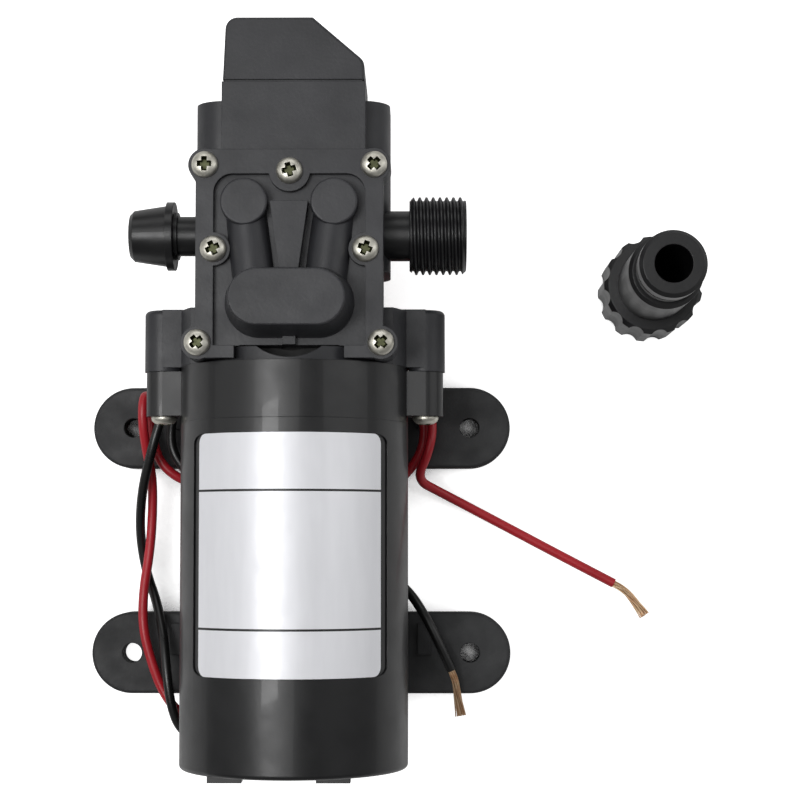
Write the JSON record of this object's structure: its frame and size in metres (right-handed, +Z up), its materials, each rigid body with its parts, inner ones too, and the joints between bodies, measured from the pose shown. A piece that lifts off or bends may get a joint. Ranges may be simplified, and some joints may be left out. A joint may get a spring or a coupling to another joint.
{
  "type": "diaphragm water pump",
  "caption": "Small electric diaphragm water pump for a caravan, lying on rubber feet, with a pressure switch, bare-ended leads and a loose threaded hose connector.",
  "frame": {"origin": "middle of the four foot holes, on the ground that the rubber feet stand on", "axes": "+Y from the motor towards the pressure switch along the motor's axis, +X towards the threaded port, +Z up from the feet"},
  "size_m": [0.1749, 0.2016, 0.077],
  "materials": {
    "motor_black": "satin black plastic skin over the motor",
    "label_silver": "matt silver foil",
    "steel": "bright zinc-plated",
    "magnet": "dark grey ferrite",
    "copper": "bare copper, dull",
    "brass_tabs": "plain",
    "carbon": "matt carbon",
    "card": "brown laminate",
    "head_plastic": "satin moulded glass-filled plastic, dark grey",
    "port_plastic": "satin moulded plastic, black",
    "inner_plastic": "off-white moulded plastic",
    "screw_nickel": "bright nickel plate with a faint yellow tint",
    "foot_rubber": "matt moulded",
    "seal_rubber": "matt moulded",
    "lead_red": "glossy soft PVC",
    "lead_black": "glossy soft PVC"
  },
  "bodies": {
    "pump": {"motor_sleeve": "motor_black", "motor_label": "label_silver", "motor_can": "steel", "field_magnets": "magnet", "rear_end_bell": "steel", "rear_bearing": "steel", "front_bearing": "steel", "front_cap": "motor_black", "brush_holder": "card", "brushes": "carbon", "brush_springs": "steel", "motor_terminals": "brass_tabs", "lead_grommet": "seal_rubber", "crankcase": "head_plastic", "pump_diaphragm": "seal_rubber", "valve_body": "head_plastic", "head_cover": "head_plastic", "cover_screws": "screw_nickel", "ear_screws": "screw_nickel", "switch_cap": "head_plastic", "lead_outlet": "seal_rubber", "switch_diaphragm": "seal_rubber", "switch_spring": "steel", "microswitch": "inner_plastic", "switch_cap_screws": "screw_nickel", "threaded_port": "port_plastic", "snap_port": "port_plastic", "port_seals": "seal_rubber", "front_foot": "foot_rubber", "rear_foot": "foot_rubber", "foot_screws": "screw_nickel", "red_motor_lead": "lead_red", "black_lead": "lead_black", "red_supply_lead": "lead_red", "black_strands": "copper", "red_strands": "copper"},
    "rotor": {"rotor_shaft": "steel", "armature_core": "steel", "armature_winding": "copper", "commutator": "copper", "eccentric": "steel"},
    "rod": {"rod_bearing": "steel", "connecting_rod": "inner_plastic", "clamp_plate": "steel", "clamp_screw": "steel"},
    "inlet_valve": {"inlet_valve": "seal_rubber"},
    "outlet_valve": {"outlet_valve": "seal_rubber"},
    "switch_plunger": {"switch_plunger": "inner_plastic", "microswitch_button": "inner_plastic"},
    "connector": {"connector_tail": "port_plastic", "connector_washer": "seal_rubber"},
    "connector_nut": {"connector_nut": "port_plastic"}
  },
  "joints": [
    {"name": "motor_spin", "type": "hinge", "parent": "pump", "child": "rotor", "pos_m": [0, 0, 0.039], "axis": [0, 1, 0], "continuous": true},
    {"name": "rod_orbit", "type": "hinge", "parent": "rotor", "child": "rod", "pos_m": [0, 0.0615, 0.0375], "axis": [0, 1, 0], "continuous": true, "deforming": ["pump_diaphragm"]},
    {"name": "inlet_valve_lift", "type": "slide", "parent": "pump", "child": "inlet_valve", "axis": [0, 0, -1], "range_m": [0, 0.0008], "stiffness_N_per_m": 60},
    {"name": "outlet_valve_lift", "type": "slide", "parent": "pump", "child": "outlet_valve", "axis": [0, 0, 1], "range_m": [0, 0.0008], "stiffness_N_per_m": 60},
    {"name": "plunger_slide", "type": "slide", "parent": "pump", "child": "switch_plunger", "axis": [0, 1, 0], "range_m": [0, 0.001], "stiffness_N_per_m": 4000, "deforming": ["switch_spring"]},
    {"name": "connector_lift", "type": "slide", "parent": "pump", "child": "connector", "axis": [0, 0, 1], "range_m": [0, 0.08]},
    {"name": "nut_swivel", "type": "hinge", "parent": "connector", "child": "connector_nut", "pos_m": [0.1007, 0.0723, 0.0105], "axis": [0, 0, 1], "continuous": true}
  ],
  "couplings": [
    {"joint": "rod_orbit", "follows": "motor_spin", "ratio": -1}
  ]
}
